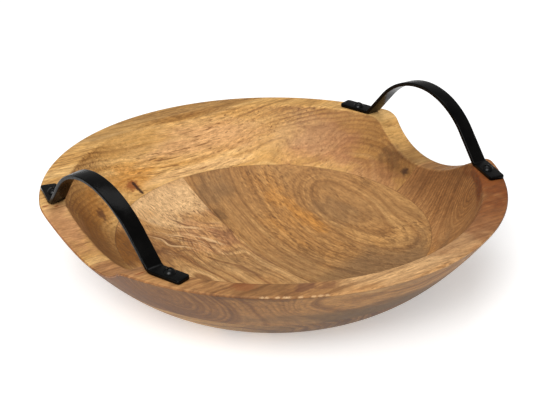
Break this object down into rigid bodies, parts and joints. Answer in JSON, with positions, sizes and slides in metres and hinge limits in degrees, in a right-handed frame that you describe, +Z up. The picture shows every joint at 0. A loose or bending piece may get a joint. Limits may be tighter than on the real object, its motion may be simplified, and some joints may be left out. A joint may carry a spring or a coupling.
{
  "type": "wooden serving bowl",
  "caption": "Shallow round wooden serving bowl glued up from crossed boards, with arched black iron strap handles over scooped hand gaps.",
  "frame": {"origin": "centre of the flat base, which is also the bottom centre of the whole object's box", "axes": "+Z up out of the bowl's mouth, X from the left handle to the right handle, Y across the handles"},
  "size_m": [0.3282, 0.3498, 0.1234],
  "materials": {
    "upper_wood": "oiled, long grain along X",
    "lower_wood": "oiled, long grain along Y",
    "black_iron": "satin black over hand-bent flat bar",
    "screw_metal": "glossy black"
  },
  "bodies": {
    "root": {"upper_board_back": "upper_wood", "upper_board_front": "upper_wood", "lower_board_left": "lower_wood", "lower_board_right": "lower_wood", "handle_left": "black_iron", "handle_right": "black_iron", "screw_left_back": "screw_metal", "screw_left_front": "screw_metal", "screw_right_back": "screw_metal", "screw_right_front": "screw_metal"}
  },
  "joints": []
}
